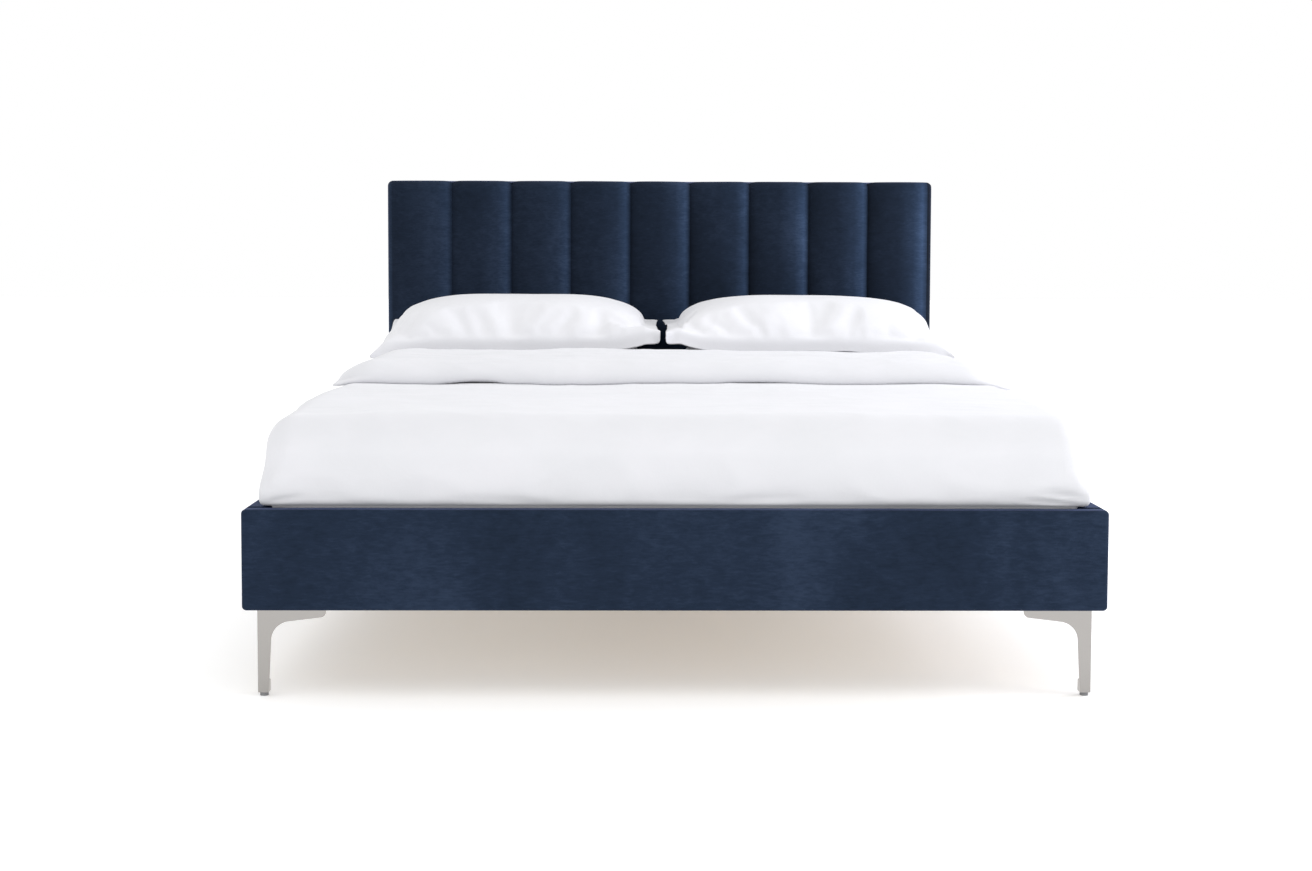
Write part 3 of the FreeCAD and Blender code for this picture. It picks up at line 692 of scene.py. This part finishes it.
def duvet_level(points):
    """Height of the duvet's own top over its flat level, gentle hills and finer creases."""
    hills = ripple(points, np.array([2.1, 1.6, 0.0]), 31) * 0.0062
    swell = ripple(points, np.array([5.5, 3.6, 0.0]), 33) * 0.0030
    fine = folds(points, np.array([7.0, 13.0, 0.0]), 35) * 0.0016
    return hills + swell + fine


def side_reach(y):
    """How far the duvet reaches to the left and to the right at a place along the bed."""
    spots = foot_rail.low.y + np.array([0.0, 0.12, 0.30, 0.50, 0.75, 0.93, 1.10, 1.30, 1.50])
    left = np.array([0.778, 0.783, 0.793, 0.803, 0.806, 0.796, 0.782, 0.768, 0.756])
    right = np.array([0.776, 0.786, 0.801, 0.816, 0.827, 0.824, 0.808, 0.786, 0.762])
    return np.interp(y, spots, left), np.interp(y, spots, right)


def spread_out(points, share, least):
    """Widen or narrow the duvet to the reach of its two sides; share is how much of it applies."""
    left, right = side_reach(points[:, 1])
    reach = np.maximum(np.where(points[:, 0] < 0, left, right), least)
    edge = eased((np.abs(points[:, 0]) - 0.35) / 0.45)
    scale = 1.0 + (reach / duvet_box.high.x - 1.0) * edge * share
    points[:, 0] *= scale
    return points


def kept_round(points, half, foot, radius):
    """Pull places outside a plan's rounded corners at the foot onto its arc; give depths inside."""
    over_x = (np.abs(points[:, 0]) - half + radius).clip(0.0)
    over_y = (foot + radius - points[:, 1]).clip(0.0)
    reach = np.hypot(over_x, over_y)
    shrink = np.minimum(1.0, radius / np.maximum(reach, 1e-9))
    points[:, 0] -= np.sign(points[:, 0]) * over_x * (1.0 - shrink)
    points[:, 1] += over_y * (1.0 - shrink)
    return points, (radius - reach).clip(0.0)


def duvet_grid(low, high):
    """The duvet's box skin, with lines where its hollow's walls will be."""
    bed_side, bed_foot = sheet_box.high.x, sheet_box.low.y
    gaps = (SHELL_WALL, SHELL_TUCK)
    sides = [bed_side + gap + more for gap in gaps for more in (0.0, SHELL_STEP)]
    feet = [bed_foot - gap - more for gap in gaps for more in (0.0, SHELL_STEP)]
    xs = lines(low[0], high[0], DUVET_STEP, fine=DUVET_FINE, near=0.028,
               extra=sides + [-side for side in sides])
    ys = lines(low[1], high[1], DUVET_STEP, fine=DUVET_FINE, near=0.028, extra=feet)
    zs = lines(low[2], high[2], 0.0080, fine=DUVET_FINE, near=0.028)
    return box_skin(xs, ys, zs)


def crease_corners(points, foot, rail_top):
    """Three soft creases down each of the duvet's two corners at the foot."""
    top = DUVET_MAIN_TOP
    for side in (-1.0, 1.0):
        creases = (((side * 0.700, foot + 0.115, top - 0.004),
                    (side * 0.770, foot + 0.006, rail_top + 0.040), 0.011, 0.0072),
                   ((side * 0.765, foot + 0.180, top - 0.026),
                    (side * 0.776, foot + 0.030, rail_top + 0.020), 0.010, 0.0062),
                   ((side * 0.640, foot + 0.070, top - 0.006),
                    (side * 0.735, foot, rail_top + 0.065), 0.012, 0.0045))
        for start, end, width, depth in creases:
            amount = crease(points, start, end, width) * depth
            amount -= crease(points, start, end, width * 2.6) * depth * 0.45
            points[:, 1] += amount * 0.8
            points[:, 0] -= side * amount * 0.6
            points[:, 2] -= amount * 0.5


def pleat_foot(points, foot, rail_top):
    """Small pleats where the duvet goes down behind the foot rail."""
    pleats = (((0.655, foot, rail_top + 0.016), (0.768, foot, rail_top + 0.006), 0.0050, 0.0060),
              ((0.690, foot, rail_top + 0.030), (0.774, foot + 0.004, rail_top + 0.020),
               0.0055, 0.0045),
              ((-0.770, foot, rail_top + 0.010), (-0.700, foot, rail_top + 0.022), 0.0055, 0.0040),
              ((0.05, foot, rail_top + 0.012), (0.24, foot, rail_top + 0.020), 0.0080, 0.0026),
              ((-0.42, foot, rail_top + 0.018), (-0.20, foot, rail_top + 0.009), 0.0080, 0.0024))
    for start, end, width, depth in pleats:
        points[:, 1] += crease(points, start, end, width) * depth


def hollow_out(points, grid, bottom):
    """Move the duvet's underside up round the bed, to leave a shell with a tucked edge."""
    bed_side, bed_foot = sheet_box.high.x, sheet_box.low.y

    def within(gap):
        return ((grid[:, 2] < bottom + 1e-6)
                & (np.abs(grid[:, 0]) < bed_side + gap + SHELL_STEP / 2)
                & (grid[:, 1] > bed_foot - gap - SHELL_STEP / 2))

    tucked, under = within(SHELL_TUCK), within(SHELL_WALL)
    points[tucked] = kept_round(grid[tucked], bed_side + SHELL_TUCK, bed_foot - SHELL_TUCK,
                                SHELL_PLAN + SHELL_TUCK)[0]
    points[tucked, 2] = duvet_box.low.z
    points[under], depth = kept_round(grid[under], bed_side + SHELL_WALL, bed_foot - SHELL_WALL,
                                      SHELL_PLAN)
    level = (SHELL_SHOULDER ** 2 - (SHELL_SHOULDER - depth).clip(0.0) ** 2).clip(0.0)
    points[under, 2] = sheet_box.high.z + 0.0008 - (SHELL_SHOULDER - np.sqrt(level))


def duvet_main():
    """The duvet over the mattress, hollow below, with its tucked edge between bed and rails."""
    low, high = np.array(duvet_box.low), np.array(duvet_box.high)
    rail_top = foot_rail.high.z
    low[2], high[2] = rail_top + 0.002, DUVET_MAIN_TOP
    grid, faces = duvet_grid(low, high)
    rise = eased((grid[:, 2] - rail_top - 0.02) / 0.06)[:, None]
    radii_low = np.array([0.012, 0.012, 0.011]) * (1 - rise)
    radii_low = radii_low + np.array([0.060, 0.092, 0.011]) * rise
    radii_high = np.array([0.012, 0.004, 0.060]) * (1 - rise)
    radii_high = radii_high + np.array([0.060, 0.004, 0.074]) * rise
    points = softened(grid, low, high, radii_low, radii_high)
    height = ((points[:, 2] - low[2]) / (high[2] - low[2])).clip(0.0, 1.0)
    points = spread_out(points, eased(height / 0.65), 0.783)
    points[:, 0] *= 1.0 - 0.016 * (1.0 - eased(height / 0.5))
    level_share = eased((height - 0.45) / 0.5)
    points[:, 2] += duvet_level(points) * level_share

    front = eased((low[1] + 0.05 - points[:, 1]) / 0.04)
    flank = eased((np.abs(points[:, 0]) - 0.74) / 0.03)
    around = np.maximum(front, flank)
    drape = ripple(points, np.array([2.6, 2.6, 3.4]), 41) * 0.0050
    drape = drape + folds(points, np.array([5.0, 5.0, 11.0]), 43) * 0.0022
    settle = ripple(points, np.array([13.0, 13.0, 5.0]), 45) * 0.0030
    settle = settle * (1.0 - eased(height / 0.45))
    out = around * (drape + settle) * eased(height / 0.12)
    points[:, 1] -= front * (out - 0.0015)
    points[:, 0] += np.sign(points[:, 0]) * flank * (1 - front) * out

    crease_corners(points, low[1], rail_top)
    pleat_foot(points, low[1], rail_top)
    hollow_out(points, grid, low[2])
    piece = finished("duvet_main", points, faces, cotton)
    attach(piece, "mattress")
    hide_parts("duvet")


def duvet_fold():
    """The part of the duvet that is folded back over itself, with a round rolled edge."""
    low, high = np.array(duvet_box.low), np.array(duvet_box.high)
    low[1], low[2] = FOLD_FRONT, DUVET_MAIN_TOP - 0.002
    high[1] -= 0.002
    xs = lines(low[0], high[0], DUVET_STEP, fine=DUVET_FINE, near=0.040)
    ys = lines(low[1], high[1], DUVET_STEP, fine=DUVET_FINE, near=0.040)
    grid, faces = box_skin(xs, ys, lines(low[2], high[2], DUVET_FINE))
    rise = eased((grid[:, 2] - low[2] - 0.004) / 0.016)[:, None]
    radii_low = np.array([0.020, 0.016, 0.009]) * (1 - rise)
    radii_low = radii_low + np.array([0.105, 0.100, 0.009]) * rise
    radii_high = np.array([0.020, 0.010, 0.044]) * (1 - rise)
    radii_high = radii_high + np.array([0.105, 0.012, 0.044]) * rise
    points = softened(grid, low, high, radii_low, radii_high)
    points = spread_out(points, 1.0, 0.0)
    height = ((points[:, 2] - low[2]) / (high[2] - low[2])).clip(0.0, 1.0)
    back = eased((points[:, 1] - FOLD_FRONT) / 0.08)
    points[:, 2] += duvet_level(points) * (1.0 - 0.3 * height)
    own = ripple(points, np.array([2.4, 3.1, 0.0]), 51) * 0.0050
    own = own + folds(points, np.array([6.0, 15.0, 0.0]), 53) * 0.0020
    own = own + ripple(points, np.array([9.0, 6.0, 0.0]), 55) * 0.0018
    points[:, 2] += own * height * (0.4 + 0.6 * back) - 0.003 * height
    beyond = (np.abs(points[:, 0]) - 0.700).clip(0.0)
    points[:, 2] -= beyond ** 2 * 2.2 * (0.45 + 0.55 * height)
    wavy = ripple(points, np.array([3.2, 0.0, 0.0]), 57) * 0.0080
    wavy = wavy + ripple(points, np.array([8.5, 0.0, 0.0]), 58) * 0.0028
    points[:, 1] += wavy * (1.0 - back)
    lift = (ripple(points, np.array([7.5, 0.0, 0.0]), 59) - 0.15).clip(0.0) * 0.012
    points[:, 2] += lift * (1.0 - back) * (1.0 - height)
    creases = (((-0.60, -0.06, 0.58), (-0.15, 0.02, 0.58), 0.016, 0.0034),
               ((0.12, -0.08, 0.58), (0.66, 0.01, 0.58), 0.018, 0.0036),
               ((-0.30, 0.16, 0.58), (0.42, 0.22, 0.58), 0.024, 0.0030))
    for start, end, width, depth in creases:
        points[:, 2] -= crease(points, start, end, width) * depth * height
    piece = finished("duvet_fold", points, faces, cotton)
    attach(piece, "mattress")
    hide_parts("duvet")


duvet_main()
duvet_fold()


# ---------------------------------------------------------------- pillows

def swollen(piece, pinned, pressure, frames, cap):
    """Blow a closed cloth up a little with Blender's cloth solver, holding pinned points."""
    scene = bpy.context.scene
    before = np.array([vertex.co[:] for vertex in piece.data.vertices])
    group = piece.vertex_groups.new(name="held")
    for index, weight in enumerate(pinned):
        if weight > 0.0:
            group.add([index], float(weight), "REPLACE")
    cloth = piece.modifiers.new("cloth", "CLOTH")
    cloth.settings.vertex_group_mass = "held"
    cloth.settings.use_pressure = True
    cloth.settings.uniform_pressure_force = pressure
    cloth.settings.quality = 5
    cloth.settings.mass = 0.25
    cloth.settings.tension_stiffness = 22.0
    cloth.settings.compression_stiffness = 22.0
    cloth.settings.shear_stiffness = 6.0
    cloth.settings.bending_stiffness = 0.35
    cloth.settings.shrink_min = -0.035
    cloth.settings.effector_weights.gravity = 0.0
    cloth.collision_settings.use_collision = False
    cloth.point_cache.frame_start = 1
    cloth.point_cache.frame_end = frames
    for step in range(1, frames + 1):
        scene.frame_set(step)
    solved = piece.evaluated_get(bpy.context.evaluated_depsgraph_get())
    after = np.array([vertex.co[:] for vertex in solved.data.vertices])
    piece.modifiers.clear()
    piece.vertex_groups.clear()
    scene.frame_set(1)
    moved = after - before
    length = np.linalg.norm(moved, axis=1)[:, None]
    moved *= np.minimum(1.0, cap / np.maximum(length, 1e-9))
    piece.data.vertices.foreach_set("co", (before + moved).ravel())
    piece.data.update()


def relaxed(points, faces, moving, rounds):
    """Even a mesh out by moving points towards their neighbours."""
    pairs = np.array([(face[i], face[(i + 1) % len(face)])
                      for face in faces for i in range(len(face))])
    total = np.bincount(pairs.ravel(), minlength=len(points))[:, None]
    for _ in range(rounds):
        gathered = np.zeros_like(points)
        np.add.at(gathered, pairs[:, 0], points[pairs[:, 1]])
        np.add.at(gathered, pairs[:, 1], points[pairs[:, 0]])
        points = points + moving[:, None] * 0.5 * (gathered / total - points)
    return points


FLANGE = 45 * MM
SEAM_HEIGHT = 34 * MM
BORDER_LINES = np.array([0.2, 0.45, 0.72, 1.0])    # grid lines over the border, as shares of it
ACROSS, ALONG = 74, 54                             # grid lines over the filled part
SWELL_PRESSURE, SWELL_FRAMES, SWELL_MOST = 1.6, 14, 0.014


def pillow_lines(half, count):
    """Grid lines over a pillow, -1 and 1 at its seams, closer there than in the middle."""
    even = np.linspace(-1.0, 1.0, count)
    border = BORDER_LINES * FLANGE / half
    return np.concatenate((-1.0 - border[::-1], np.sin(even * math.pi / 2) * 0.35 + even * 0.65,
                           1.0 + border))


def pillow_faces(rows, columns, rim):
    """Faces over and under a pillow that share its rim, and the points that they use."""
    total = rows * columns
    faces = []
    for i in range(rows - 1):
        for j in range(columns - 1):
            a, b = i * columns + j, (i + 1) * columns + j
            faces.append((a, b, b + 1, a + 1))
            faces.append((a + total, a + 1 + total, b + 1 + total, b + total))
    twin = np.arange(2 * total)
    twin[total:][rim] = np.arange(total)[rim]
    faces = twin[np.array(faces)]
    used = np.unique(faces)
    renumber = np.full(2 * total, -1)
    renumber[used] = np.arange(len(used))
    return renumber[faces].tolist(), used


def hang_border(points, u, v, half, edge, outward, droop, seed):
    """Let the border fall in front and at the outer end, and wave a little."""
    plan = points * np.array([1.0, 1.0, 0.0])
    wave_line = ripple(plan, np.array([7.0, 7.0, 0.0]), seed + 4)
    small = ripple(plan, np.array([19.0, 19.0, 0.0]), seed + 6)
    reach = edge * FLANGE
    ahead = (v < -1.0) & (np.abs(v) * half[1] - half[1] >= np.abs(u) * half[0] - half[0] - 1e-9)
    aside = (np.abs(u) > 1.0) & ~ahead
    turn = np.radians(droop) * eased(edge * 1.6)
    points[:, 2] -= np.where(ahead, np.sin(turn) * reach, 0.0)
    points[:, 1] += np.where(ahead, (1 - np.cos(turn)) * reach * 0.9, 0.0)
    side_turn = np.radians(droop * 0.62) * eased(edge * 1.6) * eased((1.15 - v) / 0.8)
    side_turn *= np.where(outward < 0, 0.15, 1.0)
    points[:, 2] -= np.where(aside, np.sin(side_turn) * reach, 0.0)
    points[:, 2] += edge * (wave_line * 0.0090 + small * 0.0030)
    points[:, 1] += np.where(ahead, edge * (wave_line * 0.0050), 0.0)


def pillow(name, seed, droop, resting):
    """A filled case with a flat border round its seam; droop is the border's hang in front."""
    span = Span(name)
    low, high = span.low, span.high
    seam = low.z + SEAM_HEIGHT
    centre = np.array(span.middle)[:2]
    half = np.array((span.size.x / 2 - FLANGE, span.size.y / 2 - FLANGE))
    us, vs = np.meshgrid(pillow_lines(half[0], ACROSS), pillow_lines(half[1], ALONG), indexing="ij")
    u, v = us.ravel(), vs.ravel()
    inside_u, inside_v = np.clip(u, -1, 1), np.clip(v, -1, 1)
    lens = ((1 - np.abs(inside_u) ** 3.2) * (1 - np.abs(inside_v) ** 2.6)).clip(0.0) ** 0.58
    outside = np.maximum((np.abs(u) - 1) * half[0], (np.abs(v) - 1) * half[1]).clip(0.0) / FLANGE
    pull_u = 1.0 - 0.020 * (1 - inside_v ** 2) * np.abs(inside_u) ** 3
    pull_v = 1.0 - 0.030 * (1 - inside_u ** 2) * np.abs(inside_v) ** 3
    x = centre[0] + u * half[0] * pull_u
    y = centre[1] + v * half[1] * pull_v
    rim = outside > 1.0 - 1e-6
    thick = np.where(rim, 0.0, 0.0016)
    belly = (high.z - seam) * (0.93 + 0.07 * inside_v) - 0.002
    flat = np.minimum(lens * 1.5, 1.0) if resting else lens
    upper = np.column_stack((x, y, seam + thick + belly * lens))
    lower = np.column_stack((x, y, seam - thick - (seam - low.z - 0.003) * flat))
    slack = ripple(upper, np.array([6.0, 7.0, 0.0]), seed) * 0.0045 * lens
    upper[:, 2] += slack - 0.003 * lens
    faces, used = pillow_faces(*us.shape, rim)
    points = np.concatenate((upper, lower))[used]
    edge = np.concatenate((outside, outside))[used]
    u, v = np.concatenate((u, u))[used], np.concatenate((v, v))[used]
    outward = np.sign(centre[0]) * u
    near_seam = np.exp(-((1 - np.maximum(np.abs(u), np.abs(v))).clip(0.0) * half[1] / 0.05))

    piece = finished(name + "_case", points, faces, pillow_cotton)
    held = np.where(edge > 0.0, 1.0, 0.0)
    swollen(piece, held, SWELL_PRESSURE, SWELL_FRAMES, SWELL_MOST)
    points = np.array([vertex.co[:] for vertex in piece.data.vertices])
    points = relaxed(points, faces, np.where(edge > 0.0, 0.0, 0.5), 2)
    points[:, 2] = np.clip(points[:, 2], low.z + 0.0005, None)
    sag = np.concatenate((1.0 - lens, 1.0 - lens))[used] * eased((0.35 - v) / 1.3)
    hang_more = 0.030 + 0.012 * outward.clip(0.0) ** 4 - 0.024 * (-outward).clip(0.0, 1.0) ** 6
    points[:, 2] -= sag * (0.006 if resting else hang_more)
    gather = ripple(points, np.array([34.0, 34.0, 8.0]), seed + 2) * 0.0022
    gather = gather * near_seam * (edge <= 0)
    points[:, 2] += gather * np.where(points[:, 2] > seam, 1.0, -0.3)
    hang_border(points, u, v, half, edge, outward, droop, seed)
    piece.data.vertices.foreach_set("co", points.ravel())
    piece.data.update()
    smooth = piece.modifiers.new("smooth", "SUBSURF")
    smooth.levels = smooth.render_levels = 1
    apply_modifiers(piece)
    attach(piece, name)
    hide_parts(name)


for pillow_name, pillow_seed, hang, lies_flat in (("pillow_lower_left", 61, 30.0, True),
                                                  ("pillow_lower_right", 67, 30.0, True),
                                                  ("pillow_upper_left", 73, 74.0, False),
                                                  ("pillow_upper_right", 79, 74.0, False)):
    pillow(pillow_name, pillow_seed, hang, lies_flat)


# ---------------------------------------------------------------- mattress and sheet

CORNER = 0.0745      # the mattress's corner rounding, which the piping follows
PIPING_RISE, PIPING_PROUD, PIPING_RADIUS = 0.031, 0.0052, 0.0028


def tufted_mattress():
    """A mattress with rounded edges and a piped edge below."""
    low, high = np.array(mattress_box.low), np.array(mattress_box.high)
    grid, faces = box_skin(lines(low[0], high[0], 0.020, fine=0.009, near=0.060),
                           lines(low[1], high[1], 0.020, fine=0.009, near=0.060),
                           lines(low[2], high[2], 0.012, fine=0.007, near=0.045))
    points = softened(grid, low, high, np.array([0.074, 0.074, 0.030]),
                      np.array([0.074, 0.074, 0.050]))
    hollows = ripple(points, np.array([5.0, 5.0, 0.0]), 91).clip(0.0) * 0.003
    points[:, 2] -= hollows * (points[:, 2] > high[2] - 0.01)
    piece = finished("mattress_core", points, faces, ticking)
    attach(piece, "mattress")
    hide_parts("mattress")

    left, right = low[0] + CORNER, high[0] - CORNER
    foot, head = low[1] + CORNER, high[1] - CORNER
    corners = ((right, head, 0.0), (left, head, 90.0), (left, foot, 180.0), (right, foot, 270.0))
    radius = CORNER - PIPING_PROUD
    ring = [(x + radius * math.cos(angle), y + radius * math.sin(angle), low[2] + PIPING_RISE)
            for x, y, start in corners
            for angle in np.radians(start + np.linspace(0.0, 90.0, 10))]
    curve = bpy.data.curves.new("mattress_piping", "CURVE")
    curve.dimensions = "3D"
    curve.bevel_depth = PIPING_RADIUS
    curve.bevel_resolution = 3
    spline = curve.splines.new("POLY")
    spline.points.add(len(ring) - 1)
    for point, place in zip(spline.points, ring):
        point.co = (*place, 1.0)
    spline.use_cyclic_u = True
    piping = placed("mattress_piping", curve)
    curve.materials.append(thread)
    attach(piping, "mattress")


SHEET_THICKNESS = 0.0006


def fitted_sheet():
    """A thin cotton cap stretched over the mattress, gathered at its hem."""
    low, high = np.array(sheet_box.low), np.array(sheet_box.high)
    hem = low[2] + 0.042
    low[2] = hem
    grid, faces = box_skin(lines(low[0], high[0], 0.014, fine=0.008, near=0.075),
                           lines(low[1], high[1], 0.014, fine=0.008, near=0.075),
                           lines(low[2], high[2], 0.012, fine=0.008, near=0.055))
    faces = [face for face in faces if any(abs(grid[index][2] - hem) >= 1e-6 for index in face)]
    points = softened(grid, low, high, np.array([0.075, 0.075, 0.0]),
                      np.array([0.075, 0.075, 0.051]))
    away = points[:, :2] - (low[:2] + high[:2]) / 2
    away /= np.linalg.norm(away, axis=1)[:, None]
    depth = ((high[2] - points[:, 2]) / (high[2] - hem)).clip(0.0, 1.0)
    gather = ripple(points, np.array([26.0, 26.0, 2.0]), 95) * 0.0012 * depth ** 2
    points[:, :2] += away * (gather - 0.0004 * depth)[:, None]
    points[:, 2] += ripple(points, np.array([9.0, 9.0, 0.0]), 97) * 0.004 * depth ** 3
    piece = finished("fitted_sheet_cloth", points, faces, sheet_cotton)
    solid = piece.modifiers.new("thickness", "SOLIDIFY")
    solid.thickness = SHEET_THICKNESS
    solid.offset = -1.0
    apply_modifiers(piece)
    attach(piece, "mattress")
    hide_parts("fitted_sheet")


tufted_mattress()
fitted_sheet()
